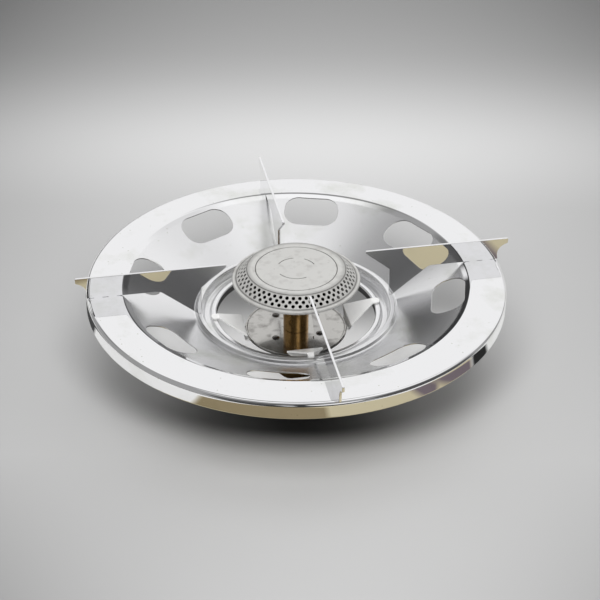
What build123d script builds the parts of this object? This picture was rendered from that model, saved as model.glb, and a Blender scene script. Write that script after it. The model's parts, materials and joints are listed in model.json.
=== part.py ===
"""Cylinder-top gas stove: a chromed pressed dish with four pot rests and a perforated burner.

Millimetres, +Z up. The origin is on the stove's axis, level with the bottom of the union nut,
so the stove stands on z = 0. The pot rests lie along +X, +Y, -X and -Y.
"""
import os
from math import atan2, cos, radians, sin

from build123d import *

# Union nut at the bottom, a female M20 x 1.5 thread drawn at its minor diameter
nut_across_flats = 27.0
nut_height = 16.0
nut_flange = 3.0
nut_chamfer = 1.2
thread_r = 9.2
thread_mouth_chamfer = 0.8
thread_relief = 0.8
relief_clearance = 0.05
running_clearance = 0.05
seat_clearance = 0.05

# Mixing tube, brass
tube_r = 7.75
tube_length = 22.4
tube_socket_wall = 1.75
tube_socket_extra = 0.4
tube_neck_step = 1.35
tube_neck_wall = 1.4

# Inlet body, a turned brass fitting that carries the jet and clamps the stove together
collar_clearance = 0.35
collar_ledge = 1.85
collar_t = 2.5
nose_wall = 2.3
nose_bore_step = 0.3
nose_bore_depth = 5.0
nose_chamfer = 0.8
air_gap = 5.0
air_hole_d = 3.6
air_hole_count = 4
shoulder_across_flats = 20.0
shoulder_t = 5.0
spigot_length = 12.0
spigot_wall = 1.5

# Seal, filter and jet inside the inlet body
seal_t = 2.0
seal_squeeze = 0.2
filter_t = 3.0
filter_inset = 0.6
jet_thread_length = 2.6
jet_thread_r = 2.9
jet_head_clearance = 0.5
jet_head_t = 1.6
jet_tip_r = 1.3
jet_tip_length = 1.6
jet_orifice_r = 0.3
screw_clearance = 0.03

# Clamped stack: lock washer, spider hub, heat disc
lock_washer_r = 13.0
lock_washer_t = 1.2
spider_t = 1.2
heat_disc_r = 31.2
heat_disc_t = 1.0
heat_disc_edge_w = 1.6
heat_disc_edge_rise = 0.5
stack_hole_clearance = 0.1

# Rivets that hold the heat disc to the spider hub
rivet_count = 4
rivet_washer_gap = 2.2
rivet_start_deg = 35.0
rivet_shank_r = 1.3
rivet_head_r = 2.3
rivet_head_top_r = 1.6
rivet_head_t = 0.9

# Burner head: pressed cup, washer, nut, diffuser and perforated cap
cup_t = 0.8
cup_floor_margin = 4.0
cup_ledge_w = 4.5
cup_ledge_rise = 7.8
cup_wall_run = 6.4
cup_flange_w = 2.3
cup_flange_rise = 12.1
cup_bend = 1.2
crimp_clearance = 0.3
head_washer_r = 11.0
head_washer_t = 1.0
head_nut_across_flats = 19.0
head_nut_t = 4.0
neck_proud = 0.8
diffuser_t = 0.6
diffuser_clearance = 0.6
diffuser_hole_d = 3.2
diffuser_row_radii = (9.0, 16.0, 22.5)
diffuser_row_counts = (8, 14, 20)
cap_t = 0.7
cap_r = 38.7
cap_flange_w = 2.3
cap_slope_run = 6.6
cap_slope_rise = 6.2
cap_fold_w = 2.1
cap_bend = 0.9
small_hole_sides = 8
cap_holes_per_row = 52
cap_hole_rows = 3
cap_hole_d = 1.9
cap_row_pitch = 2.45
cap_ring_inset = 5.2
cap_arc_r = 11.7
cap_arc_starts_deg = (14.0, 89.0, 204.0)
cap_arc_spans_deg = (40.0, 55.0, 85.0)
cap_groove_w = 0.9
cap_groove_depth = 0.25

# Dish, one steel pressing
dish_t = 0.8
dish_r = 126.2
rim_above_heat_disc = 35.4
skirt_height = 10.2
hem_width = 2.8
hem_rise = 2.4
rim_flat_w = 21.0
bowl_depth = 20.5
bead_outer_run = 1.2
bead_top_w = 2.4
bead_inner_run = 1.8
bead_rise = 2.0
groove_w = 3.4
groove_below_lip = 1.4
lip_step_run = 1.0
lip_w = 3.1
lip_r = 48.5
lip_depth = 23.0
lip_turn_down = 4.5
rim_bend = 1.6
bowl_bend = 2.4
bowl_foot_bend = 1.4
groove_bend = 0.9
tight_inside_bend = 0.25
slot_count = 8
slot_length = 35.0
slot_width = 21.4
slot_corner_r = 9.2
slot_inset = 13.5
slot_start_deg = 28.0

# Spider: a pressed star that joins the dish lip to the burner
arm_lap = 3.5
arm_lip_clearance = 1.1
arm_ramp_run = 1.8
arm_bend_drop = 6.2
arm_tip_half_w = 2.4
arm_root_half_w = 12.5
arm_bend_radius = 1.6
arm_tip_corner_r = 1.8
arm_count = 4
hub_clearance = 0.4
hub_inset = 1.2

# Pot rests, four identical blades staked into the rim
rest_t = 1.4
rest_height = 14.0
rest_overhang = 5.8
rest_end_h = 3.2
rest_tip_gap = 3.8
rest_tip_h = 1.4
rest_notch_run = 15.2
rest_foot_w = 1.8
rest_foot_run = 22.6
rest_hook_sagitta = 2.2
tab_w = 5.0
tab_below_rim = 2.2
tab_insets = (15.7, 7.2)
tab_clearance = 0.1
rest_names = ("pot_rest_right", "pot_rest_back", "pot_rest_left", "pot_rest_front")

# Radii, worked out from the sizes above
collar_r = thread_r - collar_clearance
neck_r = collar_r - collar_ledge
nose_bore_r = jet_thread_r + nose_bore_step
nose_r = nose_bore_r + nose_wall
spigot_r = tube_r - tube_socket_wall
mixing_bore_r = spigot_r - spigot_wall
jet_head_r = mixing_bore_r - jet_head_clearance
tube_neck_r = tube_r - tube_neck_step
tube_bore_r = tube_neck_r - tube_neck_wall
stack_hole_r = spigot_r + stack_hole_clearance
rivet_circle_r = lock_washer_r + rivet_washer_gap + rivet_head_r
cap_slope_foot_r = cap_r - cap_flange_w
cap_top_r = cap_slope_foot_r - cap_slope_run
cup_flange_r = cap_r - cap_t - crimp_clearance
cup_flange_in_r = cup_flange_r - cup_flange_w
cup_ledge_r = cup_flange_in_r - cup_wall_run
lip_out_r = lip_r + lip_w
groove_in_r = lip_out_r + lip_step_run
groove_out_r = groove_in_r + groove_w
bead_in_r = groove_out_r + bead_inner_run
bead_out_r = bead_in_r + bead_top_w
bowl_foot_r = bead_out_r + bead_outer_run
rim_flat_in_r = dish_r - rim_flat_w
slot_r = rim_flat_in_r - slot_inset
rest_out_r = dish_r + rest_overhang
rest_tip_r = cap_r + rest_tip_gap
tab_radii = [dish_r - inset for inset in tab_insets]

# Heights, worked up from the floor
nut_flange_z = nut_height - nut_flange
collar_top_z = nut_flange_z - seat_clearance
collar_z = collar_top_z - collar_t
nose_z = collar_z - seal_t
relief_z = nose_z - relief_clearance
shoulder_z = nut_height + air_gap
shoulder_top_z = shoulder_z + shoulder_t
air_hole_z = nut_height + air_gap / 2
hub_z = shoulder_top_z + lock_washer_t
hub_top_z = hub_z + spider_t
tube_z = hub_top_z + heat_disc_t
tube_top_z = tube_z + tube_length
cup_top_z = tube_top_z + cup_t
head_nut_z = cup_top_z + head_washer_t
neck_top_z = head_nut_z + head_nut_t + neck_proud
ledge_top_z = tube_top_z + cup_ledge_rise + cup_t
cup_flange_z = tube_top_z + cup_flange_rise
cup_flange_top_z = cup_flange_z + cup_t
cap_flange_z = cup_flange_top_z + cap_t
cap_top_z = cap_flange_z + cap_slope_rise
rim_z = tube_z + rim_above_heat_disc
bowl_foot_z = rim_z - bowl_depth
bead_z = bowl_foot_z + bead_rise
lip_z = rim_z - lip_depth
rest_top_z = rim_z + rest_height
jet_foot_z = nose_z + nose_bore_depth
jet_seat_z = jet_foot_z + jet_thread_length
spigot_top_z = shoulder_top_z + spigot_length


def on_xz(shape):
    """Stand a flat (radius, height) shape up in the XZ plane."""
    return Plane.XZ * shape


def turned(*points):
    """Solid of revolution about Z from a closed (radius, height) outline."""
    return revolve(on_xz(make_face(Polyline(*points, close=True))), Axis.Z)


def sheet_profile(points, bends, thickness, side):
    """Flat section of a sheet that follows an open path and lies on one side of it."""
    path = FilletPolyline(*points, radius=bends)
    return make_face(offset(path, thickness, side=side, closed=True))


def pressed(points, bends, thickness, side):
    """Sheet pressing: the section of a bent sheet turned about Z."""
    return revolve(on_xz(sheet_profile(points, bends, thickness, side)), Axis.Z)


def post(radius, z_low, z_high):
    """Upright cylinder on the axis."""
    return Pos(0, 0, z_low) * extrude(Circle(radius), z_high - z_low)


def ring(inner_r, outer_r, z_low, z_high):
    """Flat washer on the axis."""
    return Pos(0, 0, z_low) * extrude(Circle(outer_r) - Circle(inner_r), z_high - z_low)


def hexagon(across_flats, z_low, z_high, chamfer_size):
    """Hexagon prism whose corners are turned off at both ends."""
    flat_r = across_flats / 2
    corner_r = flat_r / cos(radians(30))
    prism = extrude(RegularPolygon(flat_r, 6, major_radius=False), z_high - z_low)
    envelope = turned(
        (0, z_low),
        (corner_r - chamfer_size, z_low),
        (corner_r, z_low + chamfer_size / 2),
        (corner_r, z_high - chamfer_size / 2),
        (corner_r - chamfer_size, z_high),
        (0, z_high),
    )
    return (Pos(0, 0, z_low) * prism) & envelope


def make_union_nut():
    body = hexagon(nut_across_flats, 0, nut_height, nut_chamfer)
    mouth = turned(
        (0, 0),
        (thread_r + thread_mouth_chamfer, 0),
        (thread_r, thread_mouth_chamfer),
        (thread_r, relief_z),
        (thread_r + thread_relief, relief_z),
        (thread_r + thread_relief, nut_flange_z),
        (0, nut_flange_z),
    )
    return body - mouth - post(neck_r + running_clearance, 0, nut_height)


def make_inlet_body():
    outside = turned(
        (0, nose_z),
        (nose_r - nose_chamfer, nose_z),
        (nose_r, nose_z + nose_chamfer),
        (nose_r, collar_z),
        (collar_r, collar_z),
        (collar_r, collar_top_z),
        (neck_r, collar_top_z),
        (neck_r, shoulder_z),
        (spigot_r, shoulder_z),
        (spigot_r, spigot_top_z),
        (0, spigot_top_z),
    )
    body = outside + hexagon(shoulder_across_flats, shoulder_z, shoulder_top_z, nut_chamfer)
    body -= post(mixing_bore_r, jet_seat_z, spigot_top_z)
    body -= post(jet_thread_r + screw_clearance, nose_z, spigot_top_z)
    body -= post(nose_bore_r, nose_z, nose_z + nose_bore_depth)
    hole = Pos(0, 0, air_hole_z) * Rot(0, 90, 0) * extrude(Circle(air_hole_d / 2), neck_r + air_gap)
    for index in range(air_hole_count):
        body -= Rot(0, 0, index * 360 / air_hole_count) * hole
    return body


def make_sealing_washer():
    inner_r = nose_r + running_clearance
    return ring(inner_r, collar_r - seal_squeeze, collar_z - seal_t, collar_z)


def make_inlet_filter():
    filter_z = nose_z + filter_inset
    return post(nose_bore_r - screw_clearance, filter_z, filter_z + filter_t)


def make_gas_jet():
    head_top_z = jet_seat_z + jet_head_t
    return turned(
        (jet_orifice_r, jet_foot_z),
        (jet_thread_r, jet_foot_z),
        (jet_thread_r, jet_seat_z),
        (jet_head_r, jet_seat_z),
        (jet_head_r, head_top_z),
        (jet_tip_r, head_top_z + jet_tip_length),
        (jet_orifice_r, head_top_z + jet_tip_length),
    )


def make_lock_washer():
    return ring(stack_hole_r, lock_washer_r, shoulder_top_z, hub_z)


def rivet_places():
    """Places of the rivets, as turns about Z of a point on the rivet circle."""
    step = 360 / rivet_count
    return [Rot(0, 0, rivet_start_deg + step * index) * Pos(rivet_circle_r, 0, 0) for index in range(rivet_count)]


def make_spider():
    arm_tip_r = lip_r + arm_lap
    arm_shelf_r = lip_r - arm_lip_clearance
    ramp_foot_r = heat_disc_r + hub_clearance + arm_bend_radius
    arm_bend_r = ramp_foot_r + arm_ramp_run
    shelf_z = lip_z + spider_t
    side_view = sheet_profile(
        [
            (arm_tip_r, shelf_z),
            (arm_shelf_r, shelf_z),
            (arm_bend_r, shelf_z - arm_bend_drop),
            (ramp_foot_r, hub_top_z),
            (0, hub_top_z),
        ],
        arm_bend_radius,
        spider_t,
        Side.LEFT,
    )
    plan = make_face(
        Polyline(
            (0, -arm_root_half_w),
            (arm_bend_r, -arm_root_half_w),
            (arm_shelf_r, -arm_tip_half_w),
            (arm_tip_r, -arm_tip_half_w),
            (arm_tip_r, arm_tip_half_w),
            (arm_shelf_r, arm_tip_half_w),
            (arm_bend_r, arm_root_half_w),
            (0, arm_root_half_w),
            close=True,
        )
    )
    plan = fillet(plan.vertices().group_by(Axis.X)[-1], arm_tip_corner_r)
    arm = extrude(on_xz(side_view), arm_root_half_w, both=True) & extrude(plan, rim_z)
    spider = post(heat_disc_r - hub_inset, hub_z, hub_top_z)
    for index in range(arm_count):
        spider += Rot(0, 0, index * 360 / arm_count) * arm
    spider -= post(stack_hole_r, hub_z, hub_top_z)
    for place in rivet_places():
        spider -= place * post(rivet_shank_r, hub_z, hub_top_z)
    return spider


def make_heat_disc():
    edge_in_r = heat_disc_r - heat_disc_edge_w
    edge_z = tube_z + heat_disc_edge_rise
    disc = turned(
        (stack_hole_r, hub_top_z),
        (heat_disc_r, hub_top_z),
        (heat_disc_r, tube_z),
        (heat_disc_r - heat_disc_edge_rise, edge_z),
        (edge_in_r + heat_disc_edge_rise, edge_z),
        (edge_in_r, tube_z),
        (stack_hole_r, tube_z),
    )
    for place in rivet_places():
        disc -= place * post(rivet_shank_r, hub_top_z, tube_z)
    return disc


def make_disc_rivets():
    rivet = turned(
        (0, hub_z - rivet_head_t),
        (rivet_head_top_r, hub_z - rivet_head_t),
        (rivet_head_r, hub_z),
        (rivet_shank_r, hub_z),
        (rivet_shank_r, tube_z),
        (rivet_head_r, tube_z),
        (rivet_head_top_r, tube_z + rivet_head_t),
        (0, tube_z + rivet_head_t),
    )
    return Compound([place * rivet for place in rivet_places()])


def make_mixing_tube():
    socket_r = spigot_r + screw_clearance
    socket_top_z = spigot_top_z + tube_socket_extra
    return turned(
        (socket_r, tube_z),
        (tube_r, tube_z),
        (tube_r, tube_top_z),
        (tube_neck_r, tube_top_z),
        (tube_neck_r, neck_top_z),
        (tube_bore_r, neck_top_z),
        (tube_bore_r, socket_top_z),
        (socket_r, socket_top_z),
    )


def make_burner_cup():
    ledge_z = tube_top_z + cup_ledge_rise
    return pressed(
        [
            (tube_neck_r + stack_hole_clearance, tube_top_z),
            (head_washer_r + cup_floor_margin, tube_top_z),
            (cup_ledge_r - cup_ledge_w, ledge_z),
            (cup_ledge_r, ledge_z),
            (cup_flange_in_r, cup_flange_z),
            (cup_flange_r, cup_flange_z),
        ],
        cup_bend,
        cup_t,
        Side.LEFT,
    )


def make_head_washer():
    return ring(tube_neck_r + stack_hole_clearance, head_washer_r, cup_top_z, head_nut_z)


def make_head_nut():
    nut = hexagon(head_nut_across_flats, head_nut_z, head_nut_z + head_nut_t, nut_chamfer)
    return nut - post(tube_neck_r + screw_clearance, head_nut_z, head_nut_z + head_nut_t)


def make_diffuser():
    disc_r = cup_ledge_r - diffuser_clearance
    disc = post(disc_r, ledge_top_z, ledge_top_z + diffuser_t)
    hole = Pos(0, 0, ledge_top_z) * extrude(RegularPolygon(diffuser_hole_d / 2, small_hole_sides), diffuser_t)
    for row_r, count in zip(diffuser_row_radii, diffuser_row_counts):
        for index in range(count):
            disc -= Rot(0, 0, index * 360 / count) * Pos(row_r, 0, 0) * hole
    return disc


def cap_holes():
    """Staggered rows of small holes, square to the sloping band of the cap, each with a few flat sides."""
    band = Vector(cap_slope_foot_r - cap_top_r, 0, cap_flange_z - cap_top_z)
    along = band.normalized()
    outward = Vector(-along.Z, 0, along.X)
    middle = Vector(cap_top_r, 0, cap_top_z) + band * 0.5
    step = 360 / cap_holes_per_row
    holes = []
    for row in range(cap_hole_rows):
        centre = middle + along * ((row - (cap_hole_rows - 1) / 2) * cap_row_pitch)
        plane = Plane(origin=centre, x_dir=(0, 1, 0), z_dir=outward)
        drill = extrude(plane * RegularPolygon(cap_hole_d / 2, small_hole_sides), cap_t * 2, both=True)
        turn = step / 2 * (row % 2)
        holes += [Rot(0, 0, turn + step * index) * drill for index in range(cap_holes_per_row)]
    return holes


def cap_grooves():
    """Stamped lines in the cap's top: one full circle and three arcs inside it."""
    floor_z = cap_top_z - cap_groove_depth
    ring_r = cap_top_r - cap_ring_inset
    circle = ring(ring_r - cap_groove_w / 2, ring_r + cap_groove_w / 2, floor_z, cap_top_z)
    arc_section = Pos(cap_arc_r, cap_top_z) * Rectangle(cap_groove_w, cap_groove_depth * 2)
    lines = [circle]
    for start_deg, span_deg in zip(cap_arc_starts_deg, cap_arc_spans_deg):
        lines.append(Rot(0, 0, start_deg) * revolve(on_xz(arc_section), Axis.Z, span_deg))
    return lines


def make_burner_cap():
    fold_z = cup_flange_z - cap_t
    cap = pressed(
        [
            (0, cap_top_z),
            (cap_top_r, cap_top_z),
            (cap_slope_foot_r, cap_flange_z),
            (cap_r, cap_flange_z),
            (cap_r, fold_z),
            (cap_r - cap_fold_w, fold_z),
        ],
        cap_bend,
        cap_t,
        Side.RIGHT,
    )
    return cap - cap_grooves() - cap_holes()


def make_dish():
    groove_z = lip_z - groove_below_lip
    hem_z = rim_z - skirt_height
    tight_bend = dish_t + tight_inside_bend
    dish = pressed(
        [
            (dish_r - hem_width, hem_z + hem_rise),
            (dish_r - hem_width, hem_z),
            (dish_r, hem_z),
            (dish_r, rim_z),
            (rim_flat_in_r, rim_z),
            (bowl_foot_r, bowl_foot_z),
            (bead_out_r, bead_z),
            (bead_in_r, bead_z),
            (groove_out_r, groove_z),
            (groove_in_r, groove_z),
            (lip_out_r, lip_z),
            (lip_r, lip_z),
            (lip_r, lip_z - lip_turn_down),
        ],
        [
            tight_bend,
            tight_bend,
            rim_bend,
            bowl_bend,
            bowl_foot_bend,
            tight_bend,
            tight_bend,
            groove_bend,
            groove_bend,
            tight_bend,
            tight_bend,
        ],
        dish_t,
        Side.LEFT,
    )
    wall_drop = atan2(bowl_depth, rim_flat_in_r - bowl_foot_r)
    slot_z = rim_z - bowl_depth * (rim_flat_in_r - slot_r) / (rim_flat_in_r - bowl_foot_r)
    wall = Plane(origin=(slot_r, 0, slot_z), x_dir=(0, 1, 0), z_dir=(-sin(wall_drop), 0, cos(wall_drop)))
    punch = extrude(wall * RectangleRounded(slot_length, slot_width, slot_corner_r), dish_t * 4, both=True)
    for index in range(slot_count):
        dish -= Rot(0, 0, slot_start_deg + index * 360 / slot_count) * punch
    slit = Box(tab_w + 2 * tab_clearance, rest_t + 2 * tab_clearance, dish_t * 4)
    for index in range(len(rest_names)):
        for tab_r in tab_radii:
            dish -= Rot(0, 0, index * 360 / len(rest_names)) * Pos(tab_r, 0, rim_z) * slit
    return dish


def make_pot_rest(turn):
    """A blade that is staked into the rim and stands on the bead with its foot."""
    foot_r = (bead_in_r + bead_out_r) / 2
    edge = Polyline(
        (dish_r, rim_z),
        (foot_r + rest_foot_w / 2 + rest_foot_run, rim_z),
        (foot_r + rest_foot_w / 2, bead_z),
        (foot_r - rest_foot_w / 2, bead_z),
        (rest_tip_r + rest_notch_run, rim_z),
        (rest_tip_r, rest_top_z - rest_tip_h),
        (rest_tip_r, rest_top_z),
        (rest_out_r, rest_top_z),
        (rest_out_r, rest_top_z - rest_end_h),
    )
    hook = SagittaArc((rest_out_r, rest_top_z - rest_end_h), (dish_r, rim_z), -rest_hook_sagitta)
    outline = make_face([edge, hook])
    for tab_r in tab_radii:
        outline += Pos(tab_r, rim_z - tab_below_rim / 2) * Rectangle(tab_w, tab_below_rim)
    return Rot(0, 0, turn) * extrude(on_xz(outline), rest_t / 2, both=True)


def make_parts():
    """Every node of the stove by name."""
    parts = {
        "dish": make_dish(),
        "spider": make_spider(),
        "heat_disc": make_heat_disc(),
        "disc_rivets": make_disc_rivets(),
        "burner_cap": make_burner_cap(),
        "diffuser": make_diffuser(),
        "head_nut": make_head_nut(),
        "head_washer": make_head_washer(),
        "burner_cup": make_burner_cup(),
        "mixing_tube": make_mixing_tube(),
        "lock_washer": make_lock_washer(),
        "inlet_body": make_inlet_body(),
        "gas_jet": make_gas_jet(),
        "inlet_filter": make_inlet_filter(),
        "sealing_washer": make_sealing_washer(),
        "union_nut": make_union_nut(),
    }
    for index, name in enumerate(rest_names):
        parts[name] = make_pot_rest(index * 360 / len(rest_names))
    return parts


os.makedirs("parts", exist_ok=True)
for name, shape in make_parts().items():
    export_step(shape, f"parts/{name}.step")
print(f"rim height {rim_z:.1f}, overall height {rest_top_z:.1f}, width over pot rests {2 * rest_out_r:.1f}")
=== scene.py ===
# %% [markdown]
# A cylinder-top gas stove: a chromed pressed dish, four blades that carry a pot, and a matte burner head on
# a brass tube. The solids already hold every size, so this lesson loads them as a fixed frame and then
# builds the surfaces that the eye rests on: mirror chrome, round holes, rolled edges and a cut thread.

# %% Load the frame
import json
import math

import bmesh
import bpy
from mathutils import Matrix, Vector


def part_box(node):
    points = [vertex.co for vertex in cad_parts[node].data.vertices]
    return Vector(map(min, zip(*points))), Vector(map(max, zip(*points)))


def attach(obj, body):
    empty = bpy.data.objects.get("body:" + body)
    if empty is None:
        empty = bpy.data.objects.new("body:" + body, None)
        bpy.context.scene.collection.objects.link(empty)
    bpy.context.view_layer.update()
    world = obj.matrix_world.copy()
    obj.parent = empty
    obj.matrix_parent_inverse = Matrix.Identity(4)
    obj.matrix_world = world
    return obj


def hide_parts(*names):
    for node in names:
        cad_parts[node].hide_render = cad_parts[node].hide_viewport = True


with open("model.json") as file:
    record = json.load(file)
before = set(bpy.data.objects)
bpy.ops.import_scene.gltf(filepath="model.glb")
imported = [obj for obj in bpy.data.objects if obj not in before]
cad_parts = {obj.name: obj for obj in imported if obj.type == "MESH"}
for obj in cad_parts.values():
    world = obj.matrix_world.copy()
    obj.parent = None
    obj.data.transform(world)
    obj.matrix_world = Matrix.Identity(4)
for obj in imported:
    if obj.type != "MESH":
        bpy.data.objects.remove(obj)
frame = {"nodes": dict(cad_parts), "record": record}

mm = 0.001
full_turn = 2 * math.pi
nodes = frame["nodes"]
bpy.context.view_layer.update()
rim_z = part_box("dish")[1].z
rim_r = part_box("dish")[1].x
print("frame:", len(nodes), "nodes, rim at", round(rim_z / mm, 2), "mm, radius", round(rim_r / mm, 2), "mm")

# %% [markdown]
# The camera stands where the photo was taken: about half a metre above the rim and a little to the left
# of the front blade. A long lens keeps the dish's ellipse flat. The camera is aimed at the middle of the rim
# and then rolled by a fraction of a degree. The shift moves the picture and leaves the perspective alone.

# %% Camera
aim = Vector((0.0, 0.0, rim_z))
camera_distance = 0.9
camera_azimuth = math.radians(-101.0)
camera_elevation = math.radians(32.37)
camera_roll = math.radians(0.37)
lens_mm = 89.52
sensor_mm = 36.0
picture_shift = (0.0063, -0.0372)


def polar(radius, angle, height):
    """A point from radius, angle and height."""
    return Vector((radius * math.cos(angle), radius * math.sin(angle), height))


def put_in_scene(name, data):
    """A new object in the scene."""
    item = bpy.data.objects.new(name, data)
    bpy.context.scene.collection.objects.link(item)
    return item


outward = polar(math.cos(camera_elevation), camera_azimuth, math.sin(camera_elevation))
camera_data = bpy.data.cameras.new("photo_camera")
camera_data.lens = lens_mm
camera_data.sensor_width = sensor_mm
camera_data.shift_x, camera_data.shift_y = picture_shift
camera = put_in_scene("photo_camera", camera_data)
turn_to_aim = (-outward).to_track_quat("-Z", "Y").to_matrix().to_4x4()
roll = Matrix.Rotation(camera_roll, 4, "Z")
camera.matrix_world = Matrix.Translation(aim + camera_distance * outward) @ turn_to_aim @ roll
bpy.context.scene.camera = camera
print("camera at", [round(value, 3) for value in camera.location])

# %% [markdown]
# Finishes come before pieces, because a Geometry Nodes tree needs the material that it sets. Each finish is
# a Principled shader in its own material. What several finishes share, such as smudges, specks of dust and
# the slow waviness of pressed sheet, is a node group that puts out a mask or a height. The groups read
# Object coordinates, so the pattern is fixed to the metal.

# %% Node helpers
black = (0.0, 0.0, 0.0)


class Net:
    """A node tree with short ways to add to it."""

    def __init__(self, tree):
        self.tree = tree

    def feed(self, node, inputs):
        """Set inputs by name or number. Each is a value, an output socket, or a node's first output."""
        for key, value in inputs.items():
            if isinstance(value, bpy.types.Node):
                value = value.outputs[0]
            if isinstance(value, bpy.types.NodeSocket):
                self.tree.links.new(value, node.inputs[key])
            else:
                node.inputs[key].default_value = value

    def add(self, kind, inputs=None, **settings):
        """A new node with its settings and inputs."""
        node = self.tree.nodes.new(kind)
        for name, value in settings.items():
            setattr(node, name, value)
        self.feed(node, inputs or {})
        return node

    def math(self, operation, first, second):
        """A Math node of two values."""
        return self.add("ShaderNodeMath", {0: first, 1: second}, operation=operation)

    def vector(self, operation, inputs):
        """A Vector Math node."""
        return self.add("ShaderNodeVectorMath", inputs, operation=operation)

    def remap(self, source, low, high, to_low, to_high, curve="LINEAR"):
        """A Map Range node from low..high to to_low..to_high."""
        inputs = {0: source, 1: low, 2: high, 3: to_low, 4: to_high}
        return self.add("ShaderNodeMapRange", inputs, interpolation_type=curve)

    def mix(self, mask, first, second):
        """Mix two colours by a mask. A colour is a source or three numbers."""
        inputs = {"Factor": mask}
        for label, colour in (("A", first), ("B", second)):
            inputs[label] = (*colour, 1.0) if isinstance(colour, tuple) else colour
        return self.add("ShaderNodeMix", inputs, data_type="RGBA").outputs["Result"]

    def place(self, socket="Object"):
        """Texture coordinates."""
        return self.add("ShaderNodeTexCoord").outputs[socket]

    def axis_distance(self, place):
        """Distance of a place from the stove's axis."""
        flat = self.vector("MULTIPLY", {0: place, 1: (1.0, 1.0, 0.0)})
        return self.vector("LENGTH", {0: flat}).outputs["Value"]


def new_material(name):
    """A material with nodes, its net and its shader."""
    material = bpy.data.materials.new(name)
    material.use_nodes = True
    return material, Net(material.node_tree), material.node_tree.nodes["Principled BSDF"]


# %% Smudges, specks and waviness
def new_group(name, output, inputs):
    """The net of an empty shader group of float sockets, its start's outputs and its end node."""
    tree = bpy.data.node_groups.new(name, "ShaderNodeTree")
    for label, value in inputs.items():
        socket = tree.interface.new_socket(label, in_out="INPUT", socket_type="NodeSocketFloat")
        socket.default_value = value
    tree.interface.new_socket(output, in_out="OUTPUT", socket_type="NodeSocketFloat")
    return Net(tree), tree.nodes.new("NodeGroupInput").outputs, tree.nodes.new("NodeGroupOutput")


def scaled_coordinates(net, scale):
    """Object coordinates times a scale in features per metre."""
    return net.vector("SCALE", {0: net.place(), "Scale": scale})


def cloud(net, scale, detail, roughness):
    """Soft noise that is fixed to the metal."""
    place = scaled_coordinates(net, scale)
    inputs = {"Vector": place, "Scale": 1.0, "Detail": detail, "Roughness": roughness}
    return net.add("ShaderNodeTexNoise", inputs).outputs["Fac"]


# Smudges are soft patches where a hand or a cloth has been: 0 is clean, 1 is hazy.
smudge_fade = 0.25
net, start, end = new_group("smudges", "Smudge", {"Scale": 30.0, "Clean share": 0.5})
noise = cloud(net, start["Scale"], detail=4.0, roughness=0.55)
above = net.math("SUBTRACT", noise, start["Clean share"])
net.feed(end, {"Smudge": net.remap(above, 0.0, smudge_fade, 0.0, 1.0)})
smudges = net.tree

# Specks are small dots of dust or pits, each at a random place in its own cell.
net, start, end = new_group("specks", "Speck", {"Scale": 300.0, "Size": 0.14, "Share": 0.15})
place = scaled_coordinates(net, start["Scale"])
cells = net.add("ShaderNodeTexVoronoi", {"Vector": place, "Scale": 1.0})
inside = net.math("LESS_THAN", cells.outputs["Distance"], start["Size"])
pick = net.add("ShaderNodeSeparateColor", {0: cells.outputs["Color"]})
chosen = net.math("LESS_THAN", pick, start["Share"])
net.feed(end, {"Speck": net.math("MULTIPLY", inside, chosen)})
specks = net.tree

# Waviness is the slow ripple of pressed sheet, as a height in metres.
net, start, end = new_group("sheet waviness", "Ripple", {"Scale": 25.0, "Height": 0.05 * mm})
noise = cloud(net, start["Scale"], detail=1.5, roughness=0.45)
net.feed(end, {"Ripple": net.math("MULTIPLY", noise, start["Height"])})
waviness = net.tree
print("groups:", smudges.name, specks.name, waviness.name)

# %% [markdown]
# One small function makes every metal: a base colour that darkens a little under smudges, a roughness that
# rises with smudges and specks, and a bump from ripple and grain. Chrome is nearly a mirror, so its ripple
# is what shows. The burner head is a pressed and tumbled alloy, so its fine grain is what shows.

# %% Metal finish
def place_group(net, group, inputs=None):
    """One use of a shared group, with its own values."""
    return net.add("ShaderNodeGroup", inputs, node_tree=group)


def make_metal(name, clean, hazy, gloss, haze, metallic=1.0, smudge_scale=30.0, clean_share=0.5,
               ripple_scale=25.0, ripple=0.05 * mm, grain_scale=900.0, grain=0.0, dull_band=None, painted_shade=None):
    """A metal with smudges, specks, ripple and grain. It may have a duller band, or a painted shade of a
    colour.
    """
    material, net, shader = new_material(name)
    marks = place_group(net, smudges, {"Scale": smudge_scale, "Clean share": clean_share})
    dull = net.math("MAXIMUM", marks, place_group(net, specks))
    colour = net.mix(dull, clean, hazy)
    # A painted shade: where the point attribute says so, the colour turns near-black, for the burner cap's
    # stamped lines, band corners and underside.
    if painted_shade:
        shade_mask = net.add("ShaderNodeAttribute", attribute_name="painted_shade")
        colour = net.mix(shade_mask.outputs["Fac"], colour, painted_shade)
    roughness = net.remap(dull, 0.0, 1.0, gloss, haze)
    if dull_band:
        inner, outer, fade, band_gloss = dull_band
        radius = net.axis_distance(net.place())
        rising = net.remap(radius, inner, inner + fade, 0.0, band_gloss)
        falling = net.remap(radius, outer - fade, outer, band_gloss, 0.0)
        band = net.math("MINIMUM", rising, falling)
        roughness = net.math("MAXIMUM", roughness, band)
    wave = place_group(net, waviness, {"Scale": ripple_scale, "Height": ripple})
    fine = place_group(net, waviness, {"Scale": grain_scale, "Height": grain})
    height = net.math("ADD", wave, fine)
    bump = net.add("ShaderNodeBump", {"Strength": 1.0, "Distance": 1.0, "Height": height})
    net.feed(shader, {"Metallic": metallic, "Base Color": colour, "Roughness": roughness, "Normal": bump})
    return material


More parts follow.
